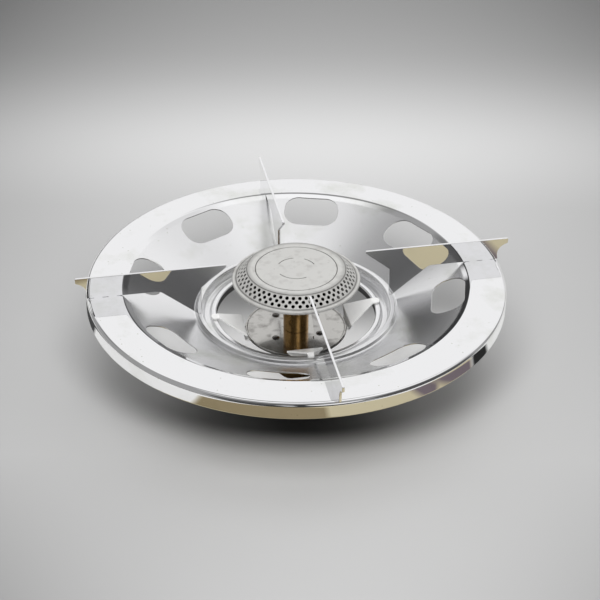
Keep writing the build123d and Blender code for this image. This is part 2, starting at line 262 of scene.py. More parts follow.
finish = {
    "chrome": make_metal(
        "chrome", (0.86, 0.86, 0.87), (0.74, 0.74, 0.74), gloss=0.035, haze=0.12,
        clean_share=0.55, ripple=0.06 * mm),
    "satin_steel": make_metal(
        "satin steel", (0.5, 0.49, 0.47), (0.28, 0.27, 0.255), gloss=0.12, haze=0.26,
        smudge_scale=160.0, ripple_scale=120.0, ripple=0.03 * mm),
    # The matte alloy carries a near-black painted shade for the burner cap's creases and underside.
    "cast_aluminium": make_metal(
        "matte alloy", (0.66, 0.655, 0.635), (0.56, 0.55, 0.53), gloss=0.42, haze=0.55,
        metallic=0.35, smudge_scale=180.0, grain=0.02 * mm, painted_shade=(0.05, 0.047, 0.043)),
    "brass": make_metal(
        "brass", (0.53, 0.32, 0.12), (0.32, 0.18, 0.065), gloss=0.2, haze=0.36,
        smudge_scale=140.0, ripple_scale=200.0, ripple=0.01 * mm),
    "sintered_bronze": make_metal(
        "sintered bronze", (0.5, 0.36, 0.2), (0.3, 0.2, 0.1), gloss=0.55, haze=0.75,
        grain_scale=4000.0, grain=0.05 * mm),
    "rubber": make_metal(
        "rubber", (0.03, 0.03, 0.03), (0.06, 0.06, 0.058), gloss=0.6, haze=0.8,
        metallic=0.0, smudge_scale=200.0, grain_scale=2500.0, grain=0.02 * mm),
}
dish_chrome = make_metal(
    "drawn chrome", (0.86, 0.86, 0.87), (0.7, 0.71, 0.67), gloss=0.035, haze=0.12,
    clean_share=0.52, ripple=0.06 * mm, dull_band=(49.0 * mm, 102.2 * mm, 1.5 * mm, 0.27))
heat_stained = make_metal(
    "heat stained steel", (0.16, 0.15, 0.14), (0.07, 0.065, 0.06), gloss=0.2, haze=0.45,
    smudge_scale=200.0, ripple_scale=200.0, ripple=0.02 * mm)
# A painted reflection: a pale, nearly white colour with little metal stands in for the bright sky that the
# star's chrome arms mirror.
painted_reflection_white = make_metal(
    "painted reflection white", (0.96, 0.96, 0.95), (0.88, 0.88, 0.87), gloss=0.28, haze=0.4,
    metallic=0.1, ripple=0.02 * mm)
print("finishes:", ", ".join(finish))

# %% [markdown]
# Sheet metal is drawn as a path with rounded bends. A mirror shows every false normal, so the path also
# keeps the true direction of the surface at each point, and a short run next to each bend holds the flat
# part flat. The same helpers serve the dish, the blades, the burner head and the star.

# %% Bent paths and sections
hold = 0.06 * mm
arc_steps = 6


def turned_by(vector, angle):
    """A 2-D vector turned anticlockwise."""
    cosine, sine = math.cos(angle), math.sin(angle)
    return Vector((vector.x * cosine - vector.y * sine, vector.x * sine + vector.y * cosine))


def bend(before, corner, after, radius):
    """Points and left-hand normals of the arc that rounds one corner, with a held point at each side."""
    entering = (corner - before).normalized()
    leaving = (after - corner).normalized()
    turn = math.atan2(entering.cross(leaving), entering.dot(leaving))
    reach = radius * math.tan(abs(turn) / 2)
    side = math.copysign(1.0, turn)
    normal = Vector((-entering.y, entering.x))
    start = corner - entering * reach
    centre = start + side * radius * normal
    row = [(start - entering * hold, normal)]
    for step in range(arc_steps + 1):
        here = turned_by(normal, turn * step / arc_steps)
        row.append((centre - side * radius * here, here))
    row.append((row[-1][0] + leaving * hold, row[-1][1]))
    return row


def bent_path(corners, radii):
    """Points and left-hand normals along an open path with rounded inner corners, in metres."""
    places = [Vector(corner) * mm for corner in corners]
    first = (places[1] - places[0]).normalized()
    last = (places[-1] - places[-2]).normalized()
    row = [(places[0], Vector((-first.y, first.x)))]
    for index, radius in enumerate(radii):
        row += bend(places[index], places[index + 1], places[index + 2], radius * mm)
    row.append((places[-1], Vector((-last.y, last.x))))
    return row


def closed_outline(corners, radii):
    """Points and outward normals round a closed outline with rounded corners, corners given clockwise."""
    places = [Vector(corner) * mm for corner in corners]
    row = []
    for index, radius in enumerate(radii):
        row += bend(places[index - 1], places[index], places[(index + 1) % len(places)], radius * mm)
    return row


def back_of(row, thickness):
    """The other side of a sheet, walked in the opposite direction."""
    return [(place - thickness * normal, -normal) for place, normal in reversed(row)]


def round_edge(end, thickness):
    """The half-round edge from the end of one side of a sheet to the start of the other."""
    place, normal = end
    centre = place - normal * thickness / 2
    turns = [turned_by(normal, -math.pi * step / arc_steps) for step in range(1, arc_steps)]
    return [(centre + turn * thickness / 2, turn) for turn in turns]


def wrapped(row, thickness):
    """The section of a sheet from its front, round the edge, to its back."""
    return row + round_edge(row[-1], thickness) + back_of(row, thickness)


# %% [markdown]
# A mesh in the making is a list of points, faces and, for turned surfaces, the true normal as an outward and
# an upward share. Those two numbers stay true when a sector is turned about the axis, so they can ride
# through Geometry Nodes as attributes and become custom normals at the end.

# %% Mesh helpers
share_labels = ("normal_out", "normal_up")


class Sheet:
    """Points, faces and turned normals of a mesh in the making."""

    def __init__(self):
        self.cells = []
        self.faces = []

    def add_point(self, point, normal_out=0.0, normal_up=0.0):
        self.cells.append((point, normal_out, normal_up))
        return len(self.cells) - 1

    def add_grid(self, rows, close_rows=False, close_columns=False):
        """Quads between rows of (point, normal_out, normal_up), the front on the left of a row's way out."""
        index = [[self.add_point(*cell) for cell in row] for row in rows]
        row_count = len(rows) if close_rows else len(rows) - 1
        columns = len(rows[0]) if close_columns else len(rows[0]) - 1
        for row in range(row_count):
            low = index[row]
            high = index[(row + 1) % len(rows)]
            for column in range(columns):
                following = (column + 1) % len(low)
                self.faces.append((low[column], high[column], high[following], low[following]))
        return index

    def add_bar(self, rows):
        """Closed loops of plain points, with a face at each end."""
        index = self.add_grid([[(point,) for point in row] for row in rows], close_columns=True)
        self.faces.append(tuple(index[0]))
        self.faces.append(tuple(reversed(index[-1])))

    def add_fan(self, middle, loop):
        """Triangles from a middle point to a closed loop."""
        for place, index in enumerate(loop):
            self.faces.append((middle, index, loop[(place + 1) % len(loop)]))

    def to_mesh(self, name):
        mesh = bpy.data.meshes.new(name)
        points, *shares = zip(*self.cells)
        mesh.from_pydata(points, [], self.faces)
        for label, values in zip(share_labels, shares):
            layer = mesh.attributes.new(label, "FLOAT", "POINT")
            layer.data.foreach_set("value", values)
        mesh.polygons.foreach_set("use_smooth", [True] * len(mesh.polygons))
        mesh.update()
        return mesh


def even_angles(count):
    """Angles of a whole turn, without the last, which is the first again."""
    return [full_turn * step / count for step in range(count)]


def turned_rows(section, angles):
    """Rows of a turned surface: one row for each section point, along the angles."""
    return [
        [(polar(place.x, angle, place.y), normal.x, normal.y) for angle in angles]
        for place, normal in section
    ]


def turned_cells(mesh):
    """(point, normal_out, normal_up) of each point of a mesh."""
    outs, ups = (mesh.attributes[label].data for label in share_labels)
    return [(vertex.co.copy(), out.value, up.value) for vertex, out, up in zip(mesh.vertices, outs, ups)]


def set_true_normals(mesh):
    """Custom normals from the two turned shares. A point with none keeps Blender's own normal."""
    normals = []
    for place, out, up in turned_cells(mesh):
        flat = Vector((place.x, place.y, 0.0)).normalized()
        normals.append(flat * out + Vector((0.0, 0.0, up)))
    mesh.normals_split_custom_set_from_vertices(normals)
    for label in share_labels:
        mesh.attributes.remove(mesh.attributes[label])


def rework(mesh, change):
    """Let a function change a mesh through bmesh."""
    work = bmesh.new()
    work.from_mesh(mesh)
    change(work)
    work.to_mesh(mesh)
    work.free()


def add_piece(name, mesh, body, slot, replaced):
    """Link a finished mesh as a piece that rides on a body and stands for a node."""
    piece = put_in_scene(name, mesh)
    if not mesh.materials:
        mesh.materials.append(finish[slot])
    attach(piece, body)
    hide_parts(replaced)
    print(name, "has", len(mesh.polygons), "faces")


# %% [markdown]
# Copies about the axis are the rule of this stove: eight slots in the dish, fifty-two columns of holes in
# the burner cap, four rivets and four arms of the star. One Geometry Nodes tree serves them all. It puts
# points at the origin, sets a copy on each with its own turn, makes the copies real, welds the seams and
# sets the finish.

# %% Copies about the axis
weld_distance = 0.004 * mm
copies_inputs = {
    "Sector": "Geometry",
    "Copies": "Int",
    "First angle": "Float",
    "Weld distance": "Float",
    "Finish": "Material",
}

copies_tree = bpy.data.node_groups.new("copies about the axis", "GeometryNodeTree")
for label, kind in copies_inputs.items():
    copies_tree.interface.new_socket(label, in_out="INPUT", socket_type="NodeSocket" + kind)
copies_tree.interface.new_socket("Piece", in_out="OUTPUT", socket_type="NodeSocketGeometry")
net = Net(copies_tree)
start = copies_tree.nodes.new("NodeGroupInput").outputs
points = net.add("GeometryNodePoints", {"Count": start["Copies"]})
index = net.add("GeometryNodeInputIndex")
step = net.math("DIVIDE", full_turn, start["Copies"])
inputs = {0: index, 1: step, 2: start["First angle"]}
angle = net.add("ShaderNodeMath", inputs, operation="MULTIPLY_ADD")
turn = net.add("FunctionNodeAxisAngleToRotation", {"Axis": (0.0, 0.0, 1.0), "Angle": angle})
inputs = {"Points": points, "Instance": start["Sector"], "Rotation": turn}
place = net.add("GeometryNodeInstanceOnPoints", inputs)
real = net.add("GeometryNodeRealizeInstances", {0: place})
inputs = {"Geometry": real, "Distance": start["Weld distance"]}
weld = net.add("GeometryNodeMergeByDistance", inputs)
paint = net.add("GeometryNodeSetMaterial", {"Geometry": weld, "Material": start["Finish"]})
net.feed(copies_tree.nodes.new("NodeGroupOutput"), {"Piece": paint})
print("copies tree:", len(copies_tree.nodes), "nodes")


def copies_about_axis(name, sector_mesh, count, first_angle, material):
    """A plain mesh of count copies of a sector, welded along their seams."""
    holder = put_in_scene(name, sector_mesh)
    modifier = holder.modifiers.new("copies", "NODES")
    modifier.node_group = copies_tree
    values = {"Copies": count, "First angle": first_angle, "Weld distance": weld_distance, "Finish": material}
    for socket in copies_tree.interface.items_tree:
        if socket.name in values:
            modifier[socket.identifier] = values[socket.name]
    graph = bpy.context.evaluated_depsgraph_get()
    whole = holder.evaluated_get(graph)
    mesh = bpy.data.meshes.new_from_object(whole, preserve_all_data_layers=True, depsgraph=graph)
    bpy.data.objects.remove(holder)
    mesh.name = name
    return mesh


# %% [markdown]
# The dish is one steel pressing: a collar round the middle hole, a groove and a bead, a sloping wall with
# eight punched slots, a flat rim, a skirt and a rolled hem. A Boolean would cut the slots but leave ragged
# normals, and chrome would show them. So one eighth of the dish is woven: plain turned strips inside
# and outside the slots, and between them rings that run from the slot's rounded rectangle to the borders of
# the sector.

# %% Dish section
dish_sheet = 0.8 * mm
bead_up = 46.3
slope_foot = (61.4, 44.3)
slope_top = (105.2, 64.8)
skirt_height = 10.2
hem_width = 2.8
hem_rise = 2.4
rim_out = rim_r / mm
rim_up = rim_z / mm
hem_r = rim_out - hem_width
hem_z = rim_up - skirt_height
dish_corners = (
    (48.5, 37.3), (48.5, 41.8), (51.6, 41.8), (52.6, 40.4), (56.0, 40.4), (57.2, bead_up), (60.6, bead_up),
    slope_foot, slope_top, (rim_out, rim_up), (rim_out, hem_z), (hem_r, hem_z), (hem_r, hem_z + hem_rise),
)
dish_bends = (1.05, 1.05, 0.9, 0.9, 1.2, 1.2, 1.0, 7.0, 2.6, 1.05, 1.05)
dish_path = bent_path(dish_corners, dish_bends)
slope_vector = (Vector(slope_top) - Vector(slope_foot)).normalized()
slope_normal = Vector((-slope_vector.y, slope_vector.x))
slope_tan = slope_vector.y / slope_vector.x
slope_degrees = math.degrees(math.atan(slope_tan))
print("dish path:", len(dish_path), "points, wall at", round(slope_degrees, 2), "degrees")

# %% Dish slots
slot_count = 8
slot_first_angle = math.radians(28.0)
slot_length = 35.0 * mm
slot_width = 21.4 * mm
slot_corner = 9.2 * mm
slot_r = 91.7 * mm
slot_band = (79.8 * mm, 103.7 * mm)
edge_round = 0.2 * mm
edge_steps = 3
slot_sides = ((7, 14), (7, 3), (7, 14), (7, 3))
wall_rounds = 6
spreads = (1.0, 0.75, 0.5, 0.28, 0.1, 0.0)
sector_half = full_turn / slot_count / 2


def walk(corners, counts):
    """Points round a closed outline, with a count of steps along each side."""
    loop = []
    for index, (corner, count) in enumerate(zip(corners, counts)):
        following = Vector(corners[(index + 1) % len(corners)])
        loop += [Vector(corner).lerp(following, step / count) for step in range(count)]
    return loop


def edge_arc(size):
    """(inset, depth) round a small edge, from the face to the side."""
    angles = [math.pi / 2 * step / edge_steps for step in range(edge_steps + 1)]
    return [(size * (1 - math.sin(angle)), size * (1 - math.cos(angle))) for angle in angles]


def spoke(length, angle):
    """A 2-D vector from length and angle."""
    return length * Vector((math.cos(angle), math.sin(angle)))


def slot_loop(grow):
    """Points (along, up the wall) round the slot, grown outwards by a little, from its upper left corner."""
    corner = slot_corner + grow
    half_corner = math.pi / 4
    half_long = slot_length / 2 - slot_corner
    half_short = slot_width / 2 - slot_corner
    centres = [Vector((x * half_long, y * half_short)) for x, y in ((-1, 1), (1, 1), (1, -1), (-1, -1))]
    loop = []
    for index, (corner_steps, straight_steps) in enumerate(slot_sides):
        facing = math.pi / 2 * (1 - index)
        begin = centres[index]
        target = centres[(index + 1) % 4]
        for step in range(corner_steps):
            loop.append(begin + spoke(corner, facing + half_corner * (1 - step / corner_steps)))
        for step in range(straight_steps):
            loop.append(begin.lerp(target, step / straight_steps) + spoke(corner, facing))
        for step in range(corner_steps):
            loop.append(target + spoke(corner, facing - half_corner * step / corner_steps))
    return loop


def slope_z(radius):
    """Height of the wall's upper face at a radius."""
    return slope_foot[1] * mm + (radius - slope_foot[0] * mm) * slope_tan


def on_wall(along, up):
    """(angle, radius) where the slot's flat outline, square to the wall at the slot, meets the wall."""
    depth = 0.0
    for _ in range(wall_rounds):
        ahead = slot_r + up * slope_vector.x + depth * slope_normal.x
        radius = math.hypot(ahead, along)
        depth = (slope_z(radius) - slope_z(slot_r) - up * slope_vector.y) / slope_normal.y
    return Vector((math.atan2(along, ahead), radius))


# The sector's border is walked in step with the slot: half a corner, a straight run, half a corner.
inner, outer = slot_band
border_corners = ((-sector_half, outer), (sector_half, outer), (sector_half, inner), (-sector_half, inner))
slot_steps = [2 * corner_steps + straight_steps for corner_steps, straight_steps in slot_sides]
border_loop = walk(border_corners, slot_steps)


def slot_row(grow, spread, depth, facing):
    """One closed row round a slot: spread 0 at the slot and 1 at the border, at a depth in the sheet."""
    row = []
    for place, border in zip(slot_loop(grow), border_loop):
        angle, radius = on_wall(place.x, place.y).lerp(border, spread)
        below = -depth * slope_normal
        point = polar(radius + below.x, angle, slope_z(radius) + below.y)
        row.append((point, facing * slope_normal.x, facing * slope_normal.y))
    return row


print("slot loop:", len(slot_loop(0.0)), "points; border loop:", len(border_loop), "points")

# %% Weave the dish
# Rows run from the border below the sheet, through the slot, to the border above it.
rows = [slot_row(edge_round, spread, dish_sheet, -1) for spread in spreads]
rows += [slot_row(grow, 0.0, dish_sheet - depth, 0) for grow, depth in edge_arc(edge_round)[1:]]
rows += [slot_row(grow, 0.0, depth, 0) for depth, grow in edge_arc(edge_round)[:-1]]
rows += [slot_row(edge_round, spread, 0.0, 1) for spread in reversed(spreads)]
inner, outer = (Vector((radius, slope_z(radius))) for radius in slot_band)
foot = [cell for cell in dish_path if cell[0].x < inner.x] + [(inner, slope_normal)]
crown = [(outer, slope_normal)] + [cell for cell in dish_path if cell[0].x > outer.x]
foot_back = back_of(foot, dish_sheet)
steps = slot_steps[0]
angles = [sector_half * (2 * step / steps - 1) for step in range(steps + 1)]
sector = Sheet()
sector.add_grid(turned_rows(wrapped(crown, dish_sheet), angles))
sector.add_grid(turned_rows(foot_back + round_edge(foot_back[-1], dish_sheet) + foot, angles))
sector.add_grid(rows, close_columns=True)
sector_mesh = sector.to_mesh("dish_sector")
mesh = copies_about_axis("dish_pressing", sector_mesh, slot_count, slot_first_angle, dish_chrome)
set_true_normals(mesh)
add_piece("dish_pressing", mesh, "stove", "chrome", "dish")

# %% [markdown]
# A pot rest is a blade cut from plate: a level top edge for the pot, a sharp inner end, a foot that stands
# on the dish's bead, and a hook that grips the rim. A blade is a closed outline, so it is built as loops
# that step in at the two faces for a small rounded edge. The four stay separate, because each is its own
# piece.

# %% Pot rests
blade_plate = 1.4 * mm
blade_edge = 0.16 * mm
rest_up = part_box("pot_rest_right")[1].z / mm
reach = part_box("pot_rest_right")[1].x / mm
tab_up = 62.6
blade_corners = (
    (58.1, bead_up), (57.7, rim_up), (42.5, 77.4), (42.5, rest_up), (reach, rest_up), (reach, 75.6),
    (124.65, 72.6), (rim_out, rim_up),
    (121.5, rim_up), (121.5, tab_up), (116.5, tab_up), (116.5, rim_up),
    (113.0, rim_up), (113.0, tab_up), (108.0, tab_up), (108.0, rim_up),
    (82.5, rim_up), (59.9, bead_up),
)
blade_bends = (0.3, 1.2, 0.4, 0.4, 0.4, 0.6, 7.0, 0.4, 0.2, 0.4, 0.4, 0.2, 0.2, 0.4, 0.4, 0.2, 6.0, 0.3)


def make_pot_rest(node, turn):
    """One blade: loops across its thickness, and a face at each side."""
    outline = closed_outline(blade_corners, blade_bends)
    half = blade_plate / 2
    loops = [(blade_edge + hold, -half)]
    loops += [(inset, depth - half) for inset, depth in edge_arc(blade_edge)]
    loops += [(inset, -across) for inset, across in reversed(loops)]
    turning = Matrix.Rotation(turn, 3, "Z")
    rows = []
    for inset, across in reversed(loops):
        places = [place - inset * normal for place, normal in outline]
        rows.append([turning @ Vector((place.x, across, place.y)) for place in places])
    blade = Sheet()
    blade.add_bar(rows)
    add_piece(node + "_blade", blade.to_mesh(node + "_blade"), "stove", "chrome", node)


for quarter, side in enumerate(("right", "back", "left", "front")):
    make_pot_rest("pot_rest_" + side, quarter * math.pi / 2)

# %% [markdown]
# The burner cap is pressed from thin alloy sheet: a flat top with a stamped ring and arcs, a sloping band
# with three staggered rows of holes, a flange, and an edge folded round the cup. One fifty-second part of it
# is woven with round holes that go through, and Geometry Nodes turns it into the whole band. The middle row
# is half a step on, and the cells are cut so that this still meets.

# %% Burner cap section
cap_sheet = 0.7 * mm
cap_top_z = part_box("burner_cap")[1].z
cap_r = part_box("burner_cap")[1].x / mm
band_top = Vector((29.8, cap_top_z / mm))
band_foot = Vector((36.4, 65.4))
cap_field_r = 27.0
cap_fold_z = 63.2
cap_corners = (
    (cap_field_r, band_top.y), band_top, band_foot,
    (cap_r, band_foot.y), (cap_r, cap_fold_z), (36.6, cap_fold_z),
)
cap_bends = (0.9, 0.9, 0.9, 0.9)
cap_path = bent_path(cap_corners, cap_bends)
band_vector = (band_foot - band_top).normalized()
band_normal = Vector((-band_vector.y, band_vector.x))
band_middle = (band_top + band_foot) / 2 * mm
hole_columns = 52
hole_rows = 3
hole_r = 1.06 * mm
hole_bevel = 0.08 * mm
row_pitch = 2.45 * mm
cell_half = full_turn / hole_columns / 2
cell_sides = 4
square_corners = ((-1, -1), (1, -1), (1, 1), (-1, 1))
cell_start = math.radians(-135.0)


def cell_rows(row):
    """Rows of one holed cell, from its border outside the cap, through the hole, to its border inside."""
    centre_along = (row - (hole_rows - 1) / 2) * row_pitch
    centre_angle = cell_half if row % 2 else 0.0
    border = walk(square_corners, [cell_sides] * 4)
    circle = [cell_start + full_turn * step / len(border) for step in range(len(border))]
    rim = [(centre_along + place.y * row_pitch / 2, centre_angle + place.x * cell_half) for place in border]

    def ring(radius):
        places = []
        for angle in circle:
            along = centre_along + radius * math.sin(angle)
            span = radius * math.cos(angle) / (band_middle.x + along * band_vector.x)
            places.append((along, centre_angle + span))
        return places

    rows = []
    hole = ring(hole_r)
    outer_loops = ((rim, 0.0, 1), (ring(hole_r + hole_bevel), 0.0, 1), (hole, hole_bevel, 0))
    for places, depth, facing in (*outer_loops, (hole, cap_sheet, 0), (rim, cap_sheet, -1)):
        cells = []
        for along, angle in places:
            spot = band_middle + along * band_vector - depth * band_normal
            cells.append((polar(spot.x, angle, spot.y), facing * band_normal.x, facing * band_normal.y))
        rows.append(cells)
    return rows


print("cap path:", len(cap_path), "points;", hole_columns * hole_rows, "holes")

# %% Burner cap field
ring_r = 24.6 * mm
arc_r = 11.7 * mm
arcs = ((14.0, 40.0), (89.0, 55.0), (204.0, 85.0))
groove_half = 0.45 * mm
groove_depth = 0.34 * mm
groove_steps = 4
field_steps = hole_columns * cell_sides
field_edge_r = 26.0 * mm
field_gaps = (2.0, 4.5, 7.0, 9.5)


def groove(distance):
    """Depth of a stamped line at a distance from its middle."""
    share = min(distance / groove_half, 1.0)
    return groove_depth * (0.5 + 0.5 * math.cos(math.pi * share))


def field_depth(radius, angle):
    """How deep the stamped ring and arcs press the cap's flat top."""
    depth = groove(abs(radius - ring_r))
    here = polar(radius, angle, 0.0)
    for start, span in arcs:
        past = (math.degrees(angle) - start) % 360.0
        if past <= span:
            distance = abs(radius - arc_r)
        else:
            ends = [polar(arc_r, math.radians(end), 0.0) for end in (start, start + span)]
            distance = min((here - end).length for end in ends)
        depth = max(depth, groove(distance))
    return depth


# Rings of the flat top run from the outside in, close together at the stamped lines.
groove_rings = range(groove_steps + 1, -groove_steps - 2, -1)
field_radii = [cap_field_r * mm, field_edge_r]
for middle in (ring_r, arc_r):
    field_radii += [middle + groove_half * step / groove_steps for step in groove_rings]
    field_radii += [middle - gap * mm for gap in field_gaps]
print("cap field:", len(field_radii), "rings and", len(arcs), "arcs")

# %% Weave the burner cap
painted_shade_share = 0.96
painted_shade_reach = 0.7 * mm
inside_facing = -0.2


# Painted shade: near-black on the cap's underside, in its stamped lines and in the corners of its band.
def painted_shade_at(vertex):
    """How deep the painted shade is at a point: 1 inside, and in the stamped lines and the corners of the
    band.
    """
    place = vertex.co
    flat = Vector((place.x, place.y, 0.0))
    radius = flat.length
    out = flat.normalized() if radius > 0.0 else flat
    facing = (out * band_normal.x + Vector((0.0, 0.0, band_normal.y))).dot(vertex.normal)
    if facing < inside_facing and radius < band_foot.x * mm:
        return 1.0
    if radius < cap_field_r * mm:
        share = field_depth(radius, math.atan2(place.y, place.x)) / groove_depth
        return painted_shade_share * share
    section = Vector((radius, place.z))
    corners = [1.0 - (section - corner * mm).length / painted_shade_reach for corner in (band_top, band_foot)]
    return painted_shade_share * max(0.0, *corners)


half_band = hole_rows * row_pitch / 2
top_edge = band_middle - half_band * band_vector
foot_edge = band_middle + half_band * band_vector
upper = [cell for cell in cap_path if cell[0].x < top_edge.x] + [(top_edge, band_normal)]
below_band = [place.x > foot_edge.x for place, _ in cap_path].index(True)
lower = [(foot_edge, band_normal)] + cap_path[below_band:]
angles = [cell_half * (2 * step / cell_sides - 1) for step in range(cell_sides + 1)]
wedge = Sheet()
wedge.add_grid(turned_rows(upper, angles))
wedge.add_grid(turned_rows(back_of(upper, cap_sheet), angles))
wedge.add_grid(turned_rows(wrapped(lower, cap_sheet), angles))
for row in range(hole_rows):
    wedge.add_grid(cell_rows(row), close_columns=True)
wedge_mesh = wedge.to_mesh("cap_wedge")
band = copies_about_axis("cap_band", wedge_mesh, hole_columns, 0.0, finish["cast_aluminium"])
whole = Sheet()
whole.cells = turned_cells(band)
whole.faces = [tuple(polygon.vertices) for polygon in band.polygons]

# The flat top and its underside run down to the axis.
for below, facing in ((0.0, 1), (cap_sheet, -1)):
    rows = []
    for radius in field_radii:
        row = []
        for angle in even_angles(field_steps):
            depth = field_depth(radius, angle)
            true_up = facing if depth == 0.0 else 0.0
            row.append((polar(radius, angle, cap_top_z - depth - below), 0.0, true_up))
        rows.append(row)
    if facing > 0:
        rows.reverse()
    index = whole.add_grid(rows, close_columns=True)
    middle = whole.add_point(Vector((0.0, 0.0, cap_top_z - below)), 0.0, facing)
    whole.add_fan(middle, index[0] if facing > 0 else index[-1][::-1])

mesh = whole.to_mesh("burner_cap_pressing")
rework(mesh, lambda work: bmesh.ops.remove_doubles(work, verts=work.verts, dist=weld_distance))
# The painted shade of the burner cap is stored on its points.
layer = mesh.attributes.new("painted_shade", "FLOAT", "POINT")
layer.data.foreach_set("value", [painted_shade_at(vertex) for vertex in mesh.vertices])
set_true_normals(mesh)
add_piece("burner_cap_pressing", mesh, "stove", "cast_aluminium", "burner_cap")

# %% [markdown]
# The cup below the cap is a second pressing, and the mixing tube is turned from brass bar. Both are round,
# so their sections are turned about the axis. Every edge of a section is rounded a little, as a deburred
# edge is.

# %% Cup and tube
turn_steps = 160


def turned_mesh(name, section):
    """A mesh turned from a closed section."""
    sheet = Sheet()
    sheet.add_grid(turned_rows(section, even_angles(turn_steps)), close_rows=True, close_columns=True)
    return sheet.to_mesh(name)


def make_turned(name, section, node, slot):
    """A piece turned from a closed section."""
    mesh = turned_mesh(name, section)
    set_true_normals(mesh)
    add_piece(name, mesh, "stove", slot, node)


cup_sheet = 0.8 * mm
cup_foot_z = 51.8
cup_corners = ((37.7, 63.9), (35.4, 63.9), (29.0, 59.6), (24.5, 59.6), (15.0, cup_foot_z), (6.5, cup_foot_z))
cup_bends = (1.2, 1.2, 1.2, 1.2)
cup_section = wrapped(bent_path(cup_corners, cup_bends), cup_sheet)
cup_section += round_edge(cup_section[-1], cup_sheet)
make_turned("burner_cup_pressing", cup_section, "burner_cup", "cast_aluminium")

tube_low, tube_high = (corner.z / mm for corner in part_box("mixing_tube"))
tube_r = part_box("mixing_tube")[1].x / mm
tube_bore_r = 5.0
tube_socket_r = 6.03
tube_socket_z = 38.4
tube_neck_r = 6.4
tube_corners = (
    (tube_socket_r, tube_low), (tube_socket_r, tube_socket_z), (tube_bore_r, tube_socket_z),
    (tube_bore_r, tube_high), (tube_neck_r, tube_high), (tube_neck_r, cup_foot_z),
    (tube_r, cup_foot_z), (tube_r, tube_low),
)
tube_bends = (0.3, 0.2, 0.2, 0.3, 0.4, 0.1, 0.4, 0.4)
tube_section = closed_outline(tube_corners, tube_bends)
make_turned("mixing_tube_turned", tube_section, "mixing_tube", "brass")

# %% [markdown]
# Four rivets hold the heat disc to the star below it. A rivet head is a low dome on a shank, so one rivet is
# turned about its own axis and Geometry Nodes sets four of them about the stove's axis.

# %% Rivets
rivet_count = 4
rivet_first_angle = math.radians(35.0)
rivet_place_r = 17.5 * mm
rivet_head_r = 2.3 * mm
rivet_foot_z = 29.4 * mm
rivet_top_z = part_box("disc_rivets")[1].z
rivet_low_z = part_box("disc_rivets")[0].z
rivet_shank_r = 1.3 * mm
rivet_steps = 20
dome_steps = 7
rivet_sharp = math.radians(50.0)

rise = rivet_top_z - rivet_foot_z
profile = [(rivet_shank_r, rivet_low_z), (rivet_shank_r, rivet_foot_z), (rivet_head_r, rivet_foot_z)]
for step in range(1, dome_steps):
    angle = math.pi / 2 * step / dome_steps
    profile.append((rivet_head_r * math.cos(angle), rivet_foot_z + rise * math.sin(angle)))
centre = Vector((rivet_place_r, 0.0, 0.0))
rows = []
for radius, height in reversed(profile):
    rows.append([(centre + polar(radius, angle, height),) for angle in even_angles(rivet_steps)])
rivet = Sheet()
index = rivet.add_grid(rows, close_columns=True)
top = rivet.add_point(centre + Vector((0.0, 0.0, rivet_top_z)))
low = rivet.add_point(centre + Vector((0.0, 0.0, rivet_low_z)))
rivet.add_fan(top, index[0])
rivet.add_fan(low, index[-1][::-1])
mesh = copies_about_axis("rivet_heads", rivet.to_mesh("rivet"), rivet_count, rivet_first_angle, heat_stained)
mesh.set_sharp_from_angle(angle=rivet_sharp)
add_piece("rivet_heads", mesh, "stove", "satin_steel", "disc_rivets")

# %% [markdown]
# The star joins the dish's lip to the burner: a hub under the heat disc and four arms that fold up beside
# the disc and narrow towards the lip. One arm is a strip whose width follows its radius. Geometry Nodes sets
# four of them, and a Boolean joins them to the hub, which is safe here because the faces are flat. Its
# finish is a painted reflection: a pale, nearly white colour with little metal stands in for the bright sky
# that its chrome mirrors, so it takes no sharp image.

# %% Star arms
star_sheet = 1.1 * mm
star_drop = 0.1
star_low_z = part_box("spider")[0].z / mm
star_high_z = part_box("spider")[1].z / mm - star_drop
star_sharp = math.radians(30.0)
hub_sheet = 1.2
hub_top_z = star_low_z + hub_sheet
hub_r = 30.0
hub_hole_r = 6.1
arm_count = 4
arm_sink = 0.05
arm_foot_z = hub_top_z - arm_sink
arm_start_r = 24.0
arm_fold = (31.75, 34.4)
wide_below_fold = 1.0
arm_wide_z = arm_fold[1] - wide_below_fold
arm_shelf_r = 47.4
arm_straight_r = 50.6
arm_end = ((51.2, 0.0), (51.75, 0.6), (52.0, 1.6))
arm_neck_half = 7.0 * mm
arm_root_half = 11.6 * mm
arm_tip_half = 2.6 * mm
arm_edge = 0.12 * mm


def share_between(value, low, high):
    """Where a value lies between two others, from 0 to 1."""
    return min(max((value - low) / (high - low), 0.0), 1.0)


def arm_half(place):
    """Half the arm's width: a neck at the hub, widest at the fold, narrow from the lip's shelf on."""
    climb = share_between(place.y / mm, arm_foot_z, arm_wide_z)
    taper = share_between(place.x / mm, arm_fold[0], arm_shelf_r)
    root = arm_neck_half + climb * (arm_root_half - arm_neck_half)
    return root + taper * (arm_tip_half - arm_root_half)


def arm_loop(place, normal, half):
    """The bevelled rectangle across an arm at one place of its path."""
    inner = half - arm_edge
    across = ((inner, 0.0), (half, arm_edge), (half, star_sheet - arm_edge), (inner, star_sheet))
    loop = across + tuple((-side, depth) for side, depth in reversed(across))
    sunk = [(side, place - depth * normal) for side, depth in loop]
    return [Vector((spot.x, side, spot.y)) for side, spot in sunk]


print("arms fold at a radius of", arm_fold[0], "mm")

